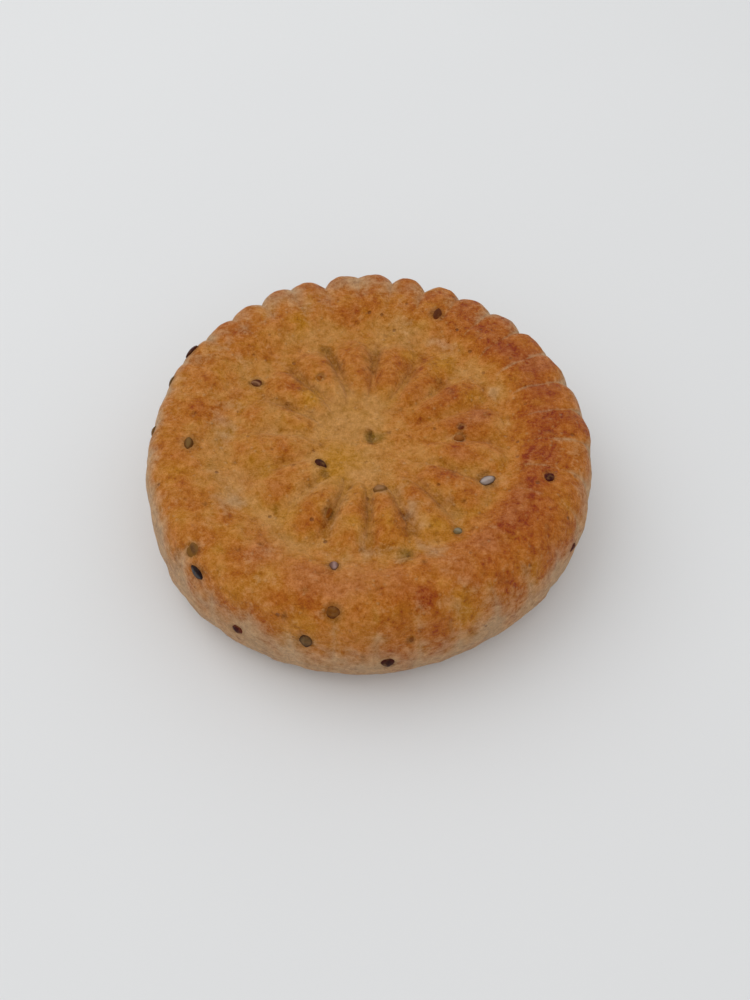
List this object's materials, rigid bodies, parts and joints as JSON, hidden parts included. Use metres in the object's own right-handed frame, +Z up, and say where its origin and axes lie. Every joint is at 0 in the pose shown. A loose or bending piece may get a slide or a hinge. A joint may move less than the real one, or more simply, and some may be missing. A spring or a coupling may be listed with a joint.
{
  "type": "maamoul",
  "caption": "Round pressed shortcrust biscuit with a moulded rosette on top, a smooth rim and a fluted flank, with black seeds baked into the crust.",
  "frame": {"origin": "middle of the flat base that the biscuit rests on", "axes": "+Z up through the moulded top; +Y points to the side with the deepest flutes, away from the camera of the picture; +X to the right of it"},
  "size_m": [0.0748, 0.0764, 0.0197],
  "materials": {
    "crust": "baked shortcrust, browned on the raised parts, matte",
    "seed": "nigella seed, dark brown to black, faintly glossy"
  },
  "bodies": {
    "root": {"maamoul": "crust"}
  },
  "joints": []
}
